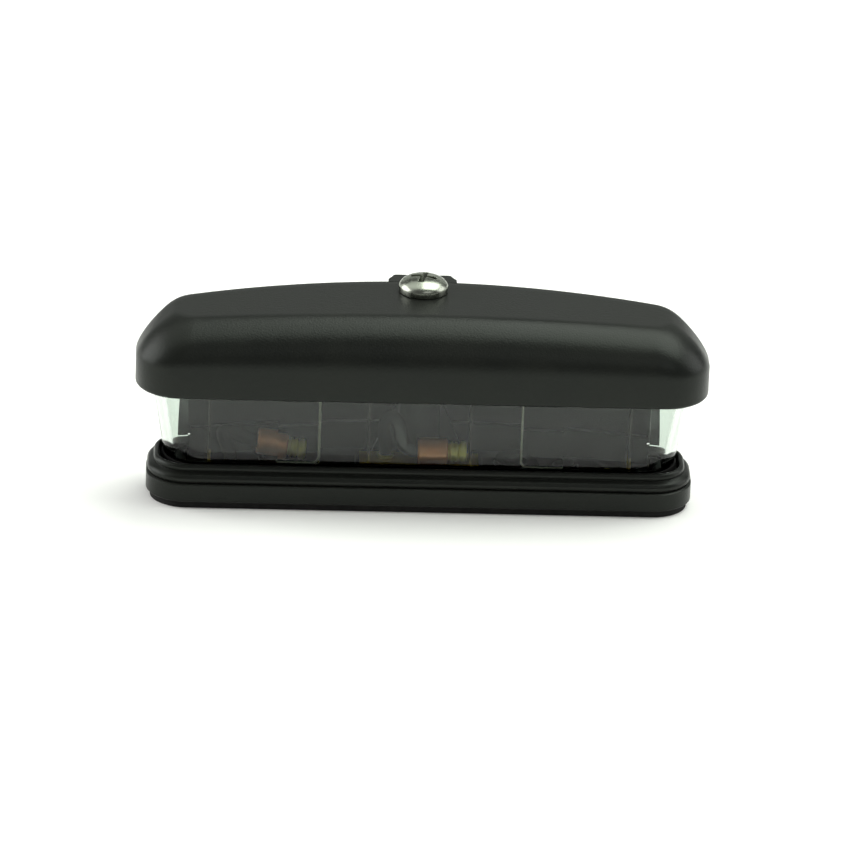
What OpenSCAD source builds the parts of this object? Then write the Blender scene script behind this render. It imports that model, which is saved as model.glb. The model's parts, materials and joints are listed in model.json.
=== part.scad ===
// Number plate lamp with a grained black hood, a clear wrap-round lens and a stepped base.
// Lengths are in millimetres. The lamp stands on its mounting face at z = 0, +X runs along its
// length, -Y is the lit front and +Y is the arched back with the screw tower.

/* [Hood] */
// Width of the hood over its ends
hood_w = 110; // [104:1:124]
// Depth of the hood at its middle, without the screw tower
hood_d = 26.3; // [25.5:0.1:30]
// Height of the hood's top above the mounting face
hood_top_z = 38.7; // [37.5:0.1:43]
// Height of the hood's front rim above the mounting face
hood_rim_z = 23.5; // [21:0.1:24.2]
// Wall of the hood
hood_wall = 2.2; // [1.8:0.1:2.6]
// Height of the rounded shoulder
shoulder_h = 9.2; // [8:0.1:10]
// How far the shoulder draws the top face in at the front
shoulder_front = 7.8; // [6.5:0.1:8.5]
// How far the shoulder draws the top face in at each end
shoulder_side = 7.7; // [6:0.1:8.5]
// Radius of the hood's corners, seen from above
hood_corner_r = 8.8; // [7:0.1:9.4]
// How far the middle of the arched back stands out behind its ends
back_bulge = 8.4; // [6.5:0.1:10]
// How far the top face falls towards its ends
crown = 2.1; // [0.6:0.1:2.4]
// Rounding of the top face's back edge
back_edge_r = 1.4; // [1:0.1:1.8]
// How far the back wall below the rim stops short of each end
skirt_side_in = 8.6; // [8.2:0.1:12]

/* [Screw tower] */
// Width of the tower where it leaves the back
tower_root_w = 13.2; // [12.8:0.1:16]
// Width of the tower at its flat back
tower_tip_w = 11.4; // [11:0.1:12.6]
// How far the tower stands out behind the hood
tower_out = 2.3; // [2.1:0.1:4]
// Distance of the screw in front of the hood's back edge
screw_in = 5.6; // [4.9:0.1:5.8]
// Diameter of the post that the screw goes into
post_dia = 8.4; // [8:0.1:8.6]

/* [Base] */
// How far each end of the base lies inside the hood's end
base_side_in = 2.4; // [2:0.1:4]
// How far the base's front lies behind the hood's front
base_setback = 1.8; // [1.6:0.1:2.6]
// Radius of the base's front corners
base_corner_r = 7.7; // [6.5:0.1:9]
// Height of the base's lower upright face
base_face_h = 3.7; // [3.2:0.1:4.2]
// Height of the double bead rim above that face
rim_h = 3.5; // [3.2:0.1:3.8]
// Thickness of the base's floor
floor_t = 3.2; // [2.8:0.1:3.4]
// Height of the rib that stands inside the lens, above the floor
upstand_h = 3.1; // [2.6:0.1:3.4]

/* [Gasket and seal] */
// Thickness of the mounting gasket
gasket_t = 1.4; // [1:0.1:2]
// How far the gasket lies inside the base's outline
gasket_inset = 0.8; // [0.5:0.1:1.2]
// Thickness of the seal under the lens
seal_t = 1.1; // [0.8:0.1:1.4]

/* [Lens] */
// Wall of the lens
lens_wall = 2; // [1.6:0.1:2.2]
// Clearance between the lens and the base's rim
lens_gap = 0.6; // [0.5:0.1:0.8]
// Height of the ledge under the lens's seal, above the floor
ledge_h = 2.2; // [1.6:0.1:2.4]
// Radius of the lens's front corners, seen from above
lens_corner_r = 8; // [5:0.1:9]
// How far each end of the lens flares out from bottom to top
lens_flare_side = 2.9; // [1.8:0.1:3]
// How far the front of the lens flares out from bottom to top
lens_flare_front = 1.2; // [0.8:0.1:1.6]
// How far the lens reaches up inside the hood
lens_in_hood = 3.2; // [2.6:0.1:4]
// Distance of the inner edge of each foot from the middle
foot_inner_x = 19.2; // [18:0.1:21]
// Width of each foot
foot_w = 8.2; // [7:0.1:9]
// Thickness of each foot behind the lens wall
foot_t = 1.8; // [1.4:0.1:2]

/* [Fixing] */
// Distance between the two fixing holes
fixing_spacing = 56; // [54:0.5:58]
// Diameter of the fixing holes
fixing_dia = 4.4; // [4:0.1:4.6]
// Diameter of the cable hole
cable_hole_dia = 6.2; // [5.6:0.1:6.4]
// Distance of the cable hole from the middle
cable_hole_x = 19; // [18:0.5:20]

/* [Bulbs] */
// Diameter of the bulb glass
bulb_dia = 8.4; // [7:0.1:8.6]
// Height of the bulbs' axis above the mounting face
bulb_z = 28; // [27.6:0.1:28.4]
// Distance of the bulbs' axis behind the hood's front
bulb_back = 11.8; // [11.4:0.1:12.2]

/* [Contacts and leads] */
// Thickness of the brass strip
brass_t = 0.5; // [0.4:0.1:0.6]
// Distance of the feed contact's arms from the middle
feed_arm_x = 9.8; // [9:0.1:10.4]
// Distance of each earth contact's arm inside the base's end
earth_arm_in = 12.1; // [11.8:0.1:13]
// Length of the feed contact's floor plate
feed_plate_len = 23; // [22:0.5:24]
// Depth of the feed contact's floor plate
feed_plate_d = 7.2; // [6.4:0.1:7.3]
// Width of the contact arms
arm_w = 4.4; // [3.6:0.1:5]
// Diameter of the crimp barrels
barrel_dia = 5.2; // [4.6:0.1:5.4]
// Diameter of the bullet noses
bullet_dia = 4.1; // [3.6:0.1:4.3]
// Diameter of the leads
lead_dia = 2.6; // [2.2:0.1:2.8]

/* [Hidden] */

$fn = 64;
eps = 0.01;
fit = 0.05;

// Levels from the mounting face up
base_z = gasket_t;
face_top_z = base_z + base_face_h;
rim_z = face_top_z + rim_h;
floor_z = base_z + floor_t;
upstand_z = floor_z + upstand_h;
ledge_z = floor_z + ledge_h;
lens_z = ledge_z + seal_t;
lens_top_z = hood_rim_z + lens_in_hood;
wall_top_z = hood_top_z - shoulder_h;
ceiling_z = hood_top_z - hood_wall;

// Places along Y, measured from the hood's front face
hood_y = -(hood_d + tower_out) / 2;
hood_back_y = hood_y + hood_d;
base_y = hood_y + base_setback;
screw_y = hood_back_y - screw_in;
bulb_y = hood_y + bulb_back;
half_hood = hood_w / 2;
back_arc_r = (half_hood * half_hood + back_bulge * back_bulge) / (2 * back_bulge);
half_base = half_hood - base_side_in;
skirt_half_w = half_hood - skirt_side_in;
earth_arm_x = half_base - earth_arm_in;

// Rim profile of the base, as insets from the outline
rim_in = 2.6;
lens_in = rim_in + lens_gap;
upstand_gap = 0.4;
upstand_in = lens_in + lens_wall + upstand_gap;
upstand_t = 1.2;

// Screw and insert
head_dia = 9.5;
head_h = 3.1;
shank_dia = 4.9;
screw_len = 14;
insert_dia = 6;
insert_len = 9;

// Resolution of the lofted outlines
line_steps = 8;
corner_steps = 10;
stations = 2 * (line_steps + corner_steps) + 1;

// Largest corner radius that a D-shaped outline can take
function corner_limit(w, h, arc) =
    let (q = 2 * arc - h - w)
    sqrt(q * q - (arc - h) * (arc - h) + arc * arc - w * w) - q;
function corner_fit(w, h, arc, r) = min(r, corner_limit(w, h, arc) - 0.05);

// Outline of the D: half width w, front f, back b, back radius arc, corner radius r
function station(i, w, r) =
    let (k = i - line_steps - corner_steps, side = sign(k), n = abs(k), cx = w - r)
    side * (n <= line_steps ? cx * n / line_steps
                            : cx + r * sin(90 * (n - line_steps) / corner_steps));
function y_front(x, w, f, r) =
    let (u = abs(x) - (w - r))
    u <= 0 ? f : f + r - sqrt(max(0, r * r - u * u));
function corner_y(w, b, arc, r) = b - arc + sqrt((arc - w) * (arc + w - 2 * r));
function y_back(x, w, b, arc, r) =
    let (cx = w - r, touch = cx + r * cx / (arc - r), u = abs(x))
    u <= touch ? b - arc + sqrt(arc * arc - u * u)
               : corner_y(w, b, arc, r) + sqrt(max(0, r * r - (u - cx) * (u - cx)));
function ring(w, f, b, arc, radius, z, drop = 0, back_radius = undef) =
    let (rb = corner_fit(w, b - f, arc, is_undef(back_radius) ? radius : back_radius),
         r = min(radius, corner_y(w, b, arc, rb) - f - 0.05),
         xs = [for (i = [0:stations - 1]) station(i, w, r)])
    concat([for (x = xs) [x, y_front(x, w, f, r), z - drop * pow(x / half_hood, 2)]],
           [for (i = [stations - 1:-1:0])
               [xs[i], y_back(xs[i], w, b, arc, rb), z - drop * pow(xs[i] / half_hood, 2)]]);

// Solid through a list of rings, closed by flat strips at both ends
module loft(rings) {
    m = 2 * stations;
    last = (len(rings) - 1) * m;
    sides = [for (k = [0:len(rings) - 2], i = [0:m - 1], half = [0, 1])
        let (j = (i + 1) % m, low = k * m, high = low + m)
        half == 0 ? [low + i, high + i, high + j] : [low + i, high + j, low + j]];
    bottom = [for (i = [0:stations - 2]) [i, i + 1, m - 2 - i, m - 1 - i]];
    top = [for (i = [0:stations - 2])
        [last + i, last + m - 1 - i, last + m - 2 - i, last + i + 1]];
    polyhedron(points = [for (r = rings) each r], faces = concat(sides, bottom, top));
}

// The same D as a flat outline
module outline(w, f, b, arc, radius, back_radius = undef) {
    polygon([for (p = ring(w, f, b, arc, radius, 0, 0, back_radius)) [p[0], p[1]]]);
}

// Outline of the screw tower behind a back edge at y, drawn in by an inset
module tower_outline(back_y, inset) {
    root = tower_root_w / 2 - inset;
    tip = tower_tip_w / 2 - inset;
    round_r = 0.7;
    tip_y = back_y + tower_out - inset - round_r;
    start_y = back_y - screw_in - head_dia / 2 - 1;
    half = concat([[root, start_y], [root, back_y]],
                  [for (a = [0:22.5:90]) [tip - round_r + round_r * cos(a), tip_y + round_r * sin(a)]]);
    polygon(concat(half, [for (i = [len(half) - 1:-1:0]) [-half[i][0], half[i][1]]]));
}

// Base rings: an inset from the base's outline at a height
function base_ring(inset, z) =
    ring(half_base - inset, base_y + inset, hood_back_y - inset, back_arc_r - inset,
         base_corner_r - inset, z);

// The two beads, as insets and as heights above the base's face and below the rim's top
lip_round_h = 0.9;
lower_bead = [[0.7, 0.05], [0.62, 0.2], [0.32, 0.45], [0.18, 0.85], [0.24, 1.25], [0.5, 1.65],
              [0.95, 1.92]];
upper_bead = [[1.5, 1.48], [1.62, 1.36], [1.5, 1.12], [1.42, 0.75], [1.5, 0.42], [1.7, 0.13],
              [2, 0], [2.3, 0.05], [2.52, 0.3], [rim_in, lip_round_h]];
// Profile of the base's rim from the bottom edge, over the two beads, down to the floor
edge_round = 0.25;
rim_profile = concat(
    [[edge_round, base_z], [0, base_z + edge_round], [0, face_top_z - edge_round],
     [edge_round, face_top_z]],
    [for (p = lower_bead) [p[0], face_top_z + p[1]]],
    [for (p = upper_bead) [p[0], rim_z - p[1]]],
    [[rim_in, floor_z]]);

// Everything behind this plane and between the lens ends is left open by the lens
lens_overlap = 1.6;
lens_end_x = skirt_half_w - lens_overlap;
lens_open_y = hood_y + hood_d / 2;

module open_back(z0, z1) {
    translate([-lens_end_x, lens_open_y, z0]) cube([2 * lens_end_x, hood_d, z1 - z0]);
}

module base() {
    color([0.14, 0.15, 0.14])
    difference() {
        union() {
            loft([for (p = rim_profile) base_ring(p[0], p[1])]);
            tower_lug();
            ledge();
            upstand();
            back_rib();
            pedestal();
            post();
            for (side = [-1, 1]) fixing_boss(side);
        }
        for (side = [-1, 1])
            translate([side * fixing_spacing / 2, fixing_y, -eps])
                cylinder(d = fixing_dia, h = rim_z);
        translate([cable_hole_x, cable_y, -eps]) cylinder(d = cable_hole_dia, h = rim_z);
        translate([0, screw_y, post_top_z - insert_len - fit])
            cylinder(d = insert_dia + 2 * fit, h = insert_len + 1);
        translate([0, screw_y, hood_top_z - screw_len - screw_tip_room])
            cylinder(d = shank_dia + screw_play, h = screw_len);
        strip_groove();
        for (x = rivet_xs)
            translate([x, rivet_y(x), rivet_foot_z(x)])
                cylinder(d = rivet_dia + 2 * fit, h = rim_z);
    }
}

floor_mid_y = (base_y + hood_back_y) / 2;
fixing_back = 2.6;
fixing_y = floor_mid_y + fixing_back;
cable_back = 3.5;
cable_y = floor_mid_y + cable_back;
post_gap = 0.03;
post_top_z = ceiling_z - post_gap;
screw_tip_room = 1;
screw_play = 0.3;

// The part of the base under the hood's tower, level with the rim
module tower_lug() {
    translate([0, 0, base_z])
        linear_extrude(rim_z - base_z)
            difference() {
                tower_outline(hood_back_y, 0);
                translate([-tower_root_w, hood_back_y - 3 * post_dia])
                    square([2 * tower_root_w, 3 * post_dia - rim_in]);
            }
}

// Rib inside the lens along its front and ends
module upstand() {
    difference() {
        translate([0, 0, floor_z - eps])
            linear_extrude(upstand_h + eps)
                difference() {
                    lens_outline(upstand_in);
                    lens_outline(upstand_in + upstand_t);
                }
        translate([-lens_end_x, feed_plate_y, floor_z - 1])
            cube([2 * lens_end_x, hood_d, upstand_h + 2]);
    }
}

// Ledge between the rim and that rib, on which the lens's seal lies
module ledge() {
    difference() {
        translate([0, 0, floor_z - eps])
            linear_extrude(ledge_h + eps)
                difference() {
                    lens_outline(lens_in - ledge_out);
                    lens_outline(upstand_in + eps);
                }
        open_back(floor_z - 1, rim_z);
    }
}

// Rib inside the hood's back wall that closes the joint between hood and base
module back_rib() {
    outer = hood_wall + back_rib_gap;
    inner = outer + back_rib_t;
    half = lens_end_x - lens_clear;
    root_z = floor_z + grommet_lip_t + grommet_clear;
    root_h = rim_z - lip_round_h - root_z;
    intersection() {
        union() {
            translate([0, 0, root_z]) linear_extrude(root_h)
                difference() {
                    base_outline(rim_in - rib_sink);
                    base_outline(inner);
                }
            translate([0, 0, root_z]) linear_extrude(rim_z + back_rib_h - root_z)
                difference() {
                    base_outline(outer);
                    base_outline(inner);
                }
        }
        translate([-half, lens_open_y, floor_z]) cube([2 * half, hood_d, hood_top_z]);
    }
}
back_rib_t = 1.2;
back_rib_h = 2;
back_rib_gap = 0.25;
rib_sink = 0.3;
lens_clear = 0.4;
grommet_lip_t = 1;
grommet_clear = 0.3;
ledge_out = 0.5;

// Outline of the lens's foot at an inset from the base's outline
module lens_outline(inset) {
    outline(half_base - inset, base_y + inset, hood_back_y - inset, back_arc_r - inset,
            lens_corner_r + lens_in - inset, lens_back_corner_r + lens_in - inset);
}

module base_outline(inset) {
    outline(half_base - inset, base_y + inset, hood_back_y - inset, back_arc_r - inset,
            base_corner_r - inset);
}

// Raised pad that carries the feed contact
pedestal_h = 2;
pedestal_z = floor_z + pedestal_h;
feed_plate_gap = 0.2;
feed_plate_y = base_y + upstand_in + upstand_t + feed_plate_gap;

module pedestal() {
    side = 0.8;
    front = 0.3;
    translate([-feed_plate_len / 2 - side, feed_plate_y - front, floor_z - eps])
        cube([feed_plate_len + 2 * side, feed_plate_d + 2 * front, pedestal_h + eps]);
}

// Screw post with two gussets
module post() {
    gusset_t = 1.6;
    gusset_len = 5;
    gusset_h = 12;
    gusset_x = post_dia / 2 - 0.2;
    translate([0, screw_y, floor_z - eps]) cylinder(d = post_dia, h = post_top_z - floor_z + eps);
    for (side = [-1, 1])
        translate([0, screw_y + gusset_t / 2, floor_z - eps]) rotate([90, 0, 0])
            linear_extrude(gusset_t)
                polygon([[0, 0], [side * (post_dia / 2 + gusset_len), 0],
                         [side * gusset_x, gusset_h], [0, gusset_h]]);
}

module fixing_boss(side) {
    boss_h = 0.8;
    boss_wall = 0.7;
    translate([side * fixing_spacing / 2, fixing_y, floor_z - eps])
        cylinder(d = fixing_dia + 2 * boss_wall, h = boss_h + eps);
}

// Groove in the underside for the strip that joins the earth contacts
strip_w = 3.8;
groove_side = 0.2;

module strip_groove() {
    translate([-earth_arm_x - groove_side, bulb_y - strip_w / 2 - groove_side, base_z - 1])
        cube([2 * (earth_arm_x + groove_side), strip_w + 2 * groove_side, groove_depth + 1]);
}

module mounting_gasket() {
    hole_ease = 0.2;
    grommet_room = 1.7;
    color([0.09, 0.09, 0.09])
    linear_extrude(gasket_t)
        difference() {
            union() {
                base_outline(gasket_inset);
                tower_outline(hood_back_y, gasket_inset);
            }
            for (side = [-1, 1])
                translate([side * fixing_spacing / 2, fixing_y]) circle(d = fixing_dia + 2 * hole_ease);
            translate([cable_hole_x, cable_y]) circle(d = cable_hole_dia + 2 * grommet_room);
        }
}

module lens() {
    inner = lens_in + lens_wall;
    color([0.85, 0.9, 0.88, 0.35])
    difference() {
        union() {
            difference() {
                loft([lens_ring(lens_in, lens_z, 0), lens_ring(lens_in, lens_top_z, 1)]);
                loft([lens_ring(inner, lens_z - 1, -1 / lens_h), lens_ring(inner, lens_top_z + 1,
                      1 + 1 / lens_h)]);
            }
            for (side = [-1, 1]) lens_foot(side);
        }
        open_back(0, hood_top_z);
    }
}

lens_h = lens_top_z - lens_z;
lens_flare_back = 0.2;
lens_back_corner_r = 4.5;

// Outline of the lens at an inset, flared by a share of its full flare
function lens_ring(inset, z, share) =
    ring(half_base - inset + lens_flare_side * share, base_y + inset - lens_flare_front * share,
         hood_back_y - inset + lens_flare_back * share, back_arc_r - inset,
         lens_corner_r + lens_in - inset, z, 0, lens_back_corner_r + lens_in - inset);

// Inner face of the lens's front wall at a height
function lens_inner_y(z) =
    base_y + lens_in + lens_wall - lens_flare_front * (z - lens_z) / lens_h;

// Clear foot that stands on the rib inside the lens
module lens_foot(side) {
    rib_y = base_y + upstand_in;
    foot_back_y = rib_y + upstand_t;
    foot_top_z = hood_rim_z - 1;
    sink = 0.3;
    side_y = base_y + lens_in + lens_wall + 0.2;
    x0 = side > 0 ? foot_inner_x : -foot_inner_x - foot_w;
    round_r = 1.4;
    difference() {
        translate([x0, 0, 0]) rotate([90, 0, 90]) linear_extrude(foot_w)
            polygon([[lens_inner_y(lens_z) - sink, lens_z], [rib_y, lens_z], [rib_y, upstand_z],
                     [foot_back_y, upstand_z],
                     [foot_back_y, foot_top_z - foot_t], [foot_back_y - foot_t, foot_top_z],
                     [lens_inner_y(foot_top_z) - sink, foot_top_z]]);
        translate([side * (foot_inner_x + round_r), side_y, upstand_z + round_r])
            rotate([-90, 0, 0]) difference() {
                translate([side > 0 ? -round_r - 1 : 0, 0, 0]) cube([round_r + 1, round_r + 1, 4]);
                translate([0, 0, -1]) cylinder(r = round_r, h = 6);
            }
    }
}

module lens_seal() {
    side_gap = 0.2;
    color([0.07, 0.07, 0.07])
    difference() {
        translate([0, 0, ledge_z])
            linear_extrude(seal_t)
                difference() {
                    lens_outline(lens_in - ledge_out + side_gap);
                    lens_outline(upstand_in - side_gap);
                }
        open_back(0, hood_top_z);
    }
}

// Hood ring at a height: side and front insets with the back drawn in by its own
function hood_ring(side_in, front_in, back_in, z, drop, corner) =
    ring(half_hood - side_in, hood_y + front_in, hood_back_y - back_in, back_arc_r - back_in,
         corner, z, drop);
// Back inset that rounds the top face's back edge
function edge_in(z, top) =
    let (h = z - (top - back_edge_r))
    h <= 0 ? 0 : back_edge_r - sqrt(max(0, back_edge_r * back_edge_r - h * h));
// Angle at which the shoulder ends, so that a fine crease shows at the top face
shoulder_end = 78;
shoulder_steps = 13;
// Power of the curve that rounds the shoulder at the ends, and the top face's corner radius
side_power = 1.45;
top_corner_r = 3.8;
// Shoulder ring at step k, drawn in by a wall thickness t
function shoulder_ring(k, steps, t) =
    let (a = shoulder_end * k / steps,
         run = (1 - cos(a)) / (1 - cos(shoulder_end)),
         rise = sin(a) / sin(shoulder_end),
         side_run = 1 - pow(1 - pow(min(rise, 1), side_power), 1 / side_power),
         top = hood_top_z - t,
         z = wall_top_z + (shoulder_h - t) * rise)
    hood_ring(t + shoulder_side * side_run, t + shoulder_front * run, t + edge_in(z, top), z,
              crown * rise, hood_corner_r - t - (hood_corner_r - top_corner_r) * run);

rim_round = 0.8;
skirt_gap = 0.3;
skirt_z = rim_z + skirt_gap;
skirt_lean = 1.2;
hole_play = 0.25;

module hood() {
    color([0.2, 0.21, 0.2])
    difference() {
        union() {
            difference() {
                union() {
                    hood_skin();
                    translate([0, 0, skirt_z])
                        linear_extrude(hood_top_z - skirt_z) tower_outline(hood_back_y, 0);
                }
                hood_cavity();
                tower_cavity();
                hood_front_cut();
            }
            for (x = stop_xs) hood_stop(x);
            for (side = [-1, 1]) {
                hood_end_stop(side);
                skirt_lip(side);
            }
        }
        translate([0, screw_y, ceiling_z - 1]) cylinder(d = shank_dia + 2 * hole_play, h = hood_wall + 2);
    }
}

module hood_skin() {
    round_steps = 3;
    loft(concat(
        [hood_ring(rim_round, rim_round, 0, skirt_z, 0, hood_corner_r - rim_round)],
        [for (k = [0:round_steps])
            let (a = 90 * k / round_steps, inset = rim_round * (1 - sin(a)))
            hood_ring(inset, inset, 0, hood_rim_z + rim_round * (1 - cos(a)), 0,
                      hood_corner_r - inset)],
        [for (k = [0:shoulder_steps]) shoulder_ring(k, shoulder_steps, 0)]));
}

module hood_cavity() {
    steps = 5;
    loft(concat([hood_ring(hood_wall, hood_wall, hood_wall, skirt_z - 1, 0,
                           hood_corner_r - hood_wall)],
                [for (k = [0:steps]) shoulder_ring(k, steps, hood_wall)]));
}

module tower_cavity() {
    wall = 1.8;
    room = 0.8;
    start = hood_wall + back_edge_r + room;
    translate([0, 0, skirt_z - 1])
        linear_extrude(ceiling_z - skirt_z + 1) intersection() {
            tower_outline(hood_back_y, wall);
            translate([-tower_root_w, hood_back_y - start])
                square([2 * tower_root_w, tower_out + start]);
        }
}

// Cuts the front and the ends off below the rim and leaves the back wall
module hood_front_cut() {
    cut_h = hood_rim_z - skirt_z + 2;
    translate([-half_hood - 1, hood_y - 1, skirt_z - 2])
        cube([hood_w + 2, hood_d / 2, cut_h]);
    out = half_hood + 1;
    for (side = [-1, 1])
        translate([0, hood_y - 1, 0]) rotate([-90, 0, 0]) linear_extrude(hood_d + 2)
            polygon([[side * (skirt_half_w + skirt_lean), -skirt_z + 2],
                     [side * (skirt_half_w + skirt_lean), -skirt_z],
                     [side * skirt_half_w, -skirt_z - cut_h + 2],
                     [side * out, -skirt_z - cut_h + 2], [side * out, -skirt_z + 2]]);
}

// Short ribs that press on the lens's top edge
stop_inner_x = 15;
stop_outer_x = earth_arm_x - 2.5;
stop_xs = [-stop_outer_x, -stop_inner_x, stop_inner_x, stop_outer_x];
stop_t = 1.4;
stop_sink = 0.4;

module hood_stop(x) {
    y0 = hood_y + hood_wall - stop_sink;
    y1 = base_y + lens_in + lens_wall - lens_flare_front;
    translate([x - stop_t / 2, y0, lens_top_z]) cube([stop_t, y1 - y0, wall_top_z - lens_top_z]);
}

module hood_end_stop(side) {
    x0 = half_base - lens_in - lens_wall + lens_flare_side;
    x1 = half_hood - hood_wall + stop_sink;
    translate([side > 0 ? x0 : -x1, hood_y + hood_corner_r + 1, lens_top_z])
        cube([x1 - x0, stop_t, wall_top_z - lens_top_z]);
}

// Back arc at a distance x from the middle, drawn in by an inset
function arc_y(inset, x) =
    let (arc = back_arc_r - inset)
    hood_back_y - inset - arc + sqrt(arc * arc - x * x);
// Rib at each end of the back wall that closes the gap behind the lens
module skirt_lip(side) {
    lip_t = 1.2;
    lip_gap = 0.3;
    lip_in = 0.2;
    x = skirt_half_w - lip_t - lip_in;
    function lens_back_y(z) = arc_y(lens_in, x) + lens_flare_back * (z - lens_z) / lens_h;
    wall_y = arc_y(hood_wall, x) + hood_wall / 4;
    translate([side > 0 ? x : -x - lip_t, 0, 0]) rotate([90, 0, 90]) linear_extrude(lip_t)
        polygon([[lens_back_y(skirt_z) + lip_gap, skirt_z], [wall_y, skirt_z],
                 [wall_y, lens_top_z], [lens_back_y(lens_top_z) + lip_gap, lens_top_z]]);
}

// Pan head screw with a cross recess
module hood_screw() {
    edge_h = 1;
    side_curve = 2 / 2.3;
    top_curve = 2 / 1.8;
    edge_break = 0.15;
    r = head_dia / 2;
    function dome_point(a) =
        [r * pow(cos(a), side_curve), edge_h + (head_h - edge_h) * pow(sin(a), top_curve)];
    color([0.78, 0.78, 0.76])
    translate([0, screw_y, hood_top_z]) difference() {
        union() {
            rotate_extrude($fn = 96)
                polygon(concat([[0, 0], [r - edge_break, 0], [r, edge_break]],
                               [for (a = [0:7.5:90]) dome_point(a)]));
            translate([0, 0, -screw_len]) cylinder(d = shank_dia, h = screw_len + eps);
        }
        cross_recess(head_h);
    }
}

module cross_recess(top) {
    blade_t = 1.05;
    blade_len = 5;
    depth = 2.2;
    mouth = 0.5;
    for (turn = [0, 90])
        rotate([0, 0, turn + recess_turn]) translate([0, blade_t / 2, top]) rotate([90, 0, 0])
            linear_extrude(blade_t)
                polygon([[-blade_len / 2, 1], [blade_len / 2, 1], [blade_len / 2, -mouth],
                         [blade_len / 4, -depth], [-blade_len / 4, -depth],
                         [-blade_len / 2, -mouth]]);
}
recess_turn = -14;

module screw_insert() {
    color([0.72, 0.58, 0.3])
    translate([0, screw_y, post_top_z - insert_len]) difference() {
        union() {
            cylinder(d = insert_dia - 0.5, h = insert_len);
            for (z = [0, insert_len - 3]) translate([0, 0, z]) cylinder(d = insert_dia, h = 3);
        }
        translate([0, 0, -1]) cylinder(d = shank_dia + 2 * fit, h = insert_len + 2);
    }
}

// Bulbs
cap_len = 6;
cap_wall = 0.4;
glass_t = 0.5;
cap_dia = bulb_dia - 1.4;
cap_seat = 0.4;
bulb_start_x = feed_arm_x + brass_t / 2 - cap_seat;
bulb_len = earth_arm_x - feed_arm_x - brass_t + 2 * cap_seat;
bulb_mid_x = bulb_start_x + bulb_len / 2;

module on_bulb_axis(side) {
    translate([side * bulb_mid_x, bulb_y, bulb_z]) rotate([0, 90, 0]) children();
}

module bulb_glass(side) {
    neck_r = cap_dia / 2 - cap_wall - fit;
    r = bulb_dia / 2;
    half = bulb_len / 2 - cap_len;
    outer = [[neck_r, -half - 3], [neck_r, -half], [r - 0.6, -half + 0.9], [r, -half + 2.4],
             [r, half - 2.4], [r - 0.6, half - 0.9], [neck_r, half], [neck_r, half + 3]];
    color([0.9, 0.92, 0.92, 0.4])
    on_bulb_axis(side) rotate_extrude() polygon(concat(outer,
        [for (i = [len(outer) - 1:-1:0]) [outer[i][0] - glass_t, outer[i][1]]]));
}

module bulb_caps(side) {
    r = cap_dia / 2;
    color([0.75, 0.72, 0.6])
    for (end = [-1, 1])
        on_bulb_axis(side) rotate([end > 0 ? 0 : 180, 0, 0]) translate([0, 0, bulb_len / 2 - cap_len])
            rotate_extrude()
                polygon([[r - cap_wall, 0], [r, 0], [r, cap_len - 2.6], [r - 0.5, cap_len - 2],
                         [1.3, cap_len - 0.6], [0.7, cap_len], [0, cap_len], [0, cap_len - 0.8],
                         [r - cap_wall - 0.6, cap_len - 2.4], [r - cap_wall, cap_len - 2.8]]);
}

module filament(side) {
    color([0.4, 0.4, 0.42])
    on_bulb_axis(side) {
        wire = bulb_len - 1.9;
        translate([0, 0, -wire / 2]) cylinder(r = 0.2, h = wire, $fn = 16);
        translate([0, 0, -4]) cylinder(r = 0.45, h = 8, $fn = 16);
    }
}

// Contacts: a floor plate with upright arms that hold the bulbs' caps
arm_above = 3.4;
arm_top_z = bulb_z + arm_above;

module arm(x, foot_z) {
    tip_hole_r = 1.15;
    translate([x - brass_t / 2, bulb_y - arm_w / 2, foot_z]) difference() {
        cube([brass_t, arm_w, arm_top_z - foot_z]);
        translate([-1, arm_w / 2, bulb_z - foot_z]) rotate([0, 90, 0])
            cylinder(r = tip_hole_r, h = brass_t + 2, $fn = 32);
    }
}

module feed_contact() {
    color([0.62, 0.52, 0.24])
    difference() {
        union() {
            translate([-feed_plate_len / 2, feed_plate_y, pedestal_z])
                cube([feed_plate_len, feed_plate_d, brass_t]);
            for (side = [-1, 1]) arm(side * feed_arm_x, pedestal_z);
        }
        for (x = rivet_xs)
            if (abs(x) < feed_plate_len / 2)
                translate([x, rivet_y(x), 0]) cylinder(d = rivet_dia + 2 * fit, h = hood_rim_z);
    }
}

earth_foot_len = 7.5;

module earth_contact(side) {
    color([0.62, 0.52, 0.24])
    difference() {
        union() {
            translate([side > 0 ? earth_arm_x + brass_t / 2 - earth_foot_len
                                : -earth_arm_x - brass_t / 2,
                       bulb_y - strip_w / 2, floor_z])
                cube([earth_foot_len, strip_w, brass_t]);
            arm(side * earth_arm_x, floor_z);
        }
        translate([side * earth_rivet_x, bulb_y, 0]) cylinder(d = rivet_dia + 2 * fit, h = hood_rim_z);
    }
}

module earth_strip() {
    color([0.62, 0.52, 0.24])
    translate([0, bulb_y, base_z + groove_depth - brass_t]) difference() {
        translate([-earth_arm_x, -strip_w / 2, 0]) cube([2 * earth_arm_x, strip_w, brass_t]);
        for (side = [-1, 1])
            translate([side * earth_rivet_x, 0, -1]) cylinder(d = rivet_dia + 2 * fit, h = 3);
    }
}

// Rivets
rivet_dia = 2;
rivet_head_dia = 3.4;
rivet_head_h = 0.6;
groove_depth = 1.2;
feed_rivet_x = 6.5;
feed_rivet_in = 2.2;
feed_rivet_y = feed_plate_y + feed_plate_d - feed_rivet_in;
earth_rivet_x = earth_arm_x - 4;
rivet_xs = [-earth_rivet_x, -feed_rivet_x, feed_rivet_x, earth_rivet_x];
function is_feed(x) = abs(x) == feed_rivet_x;
function rivet_y(x) = is_feed(x) ? feed_rivet_y : bulb_y;
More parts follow.
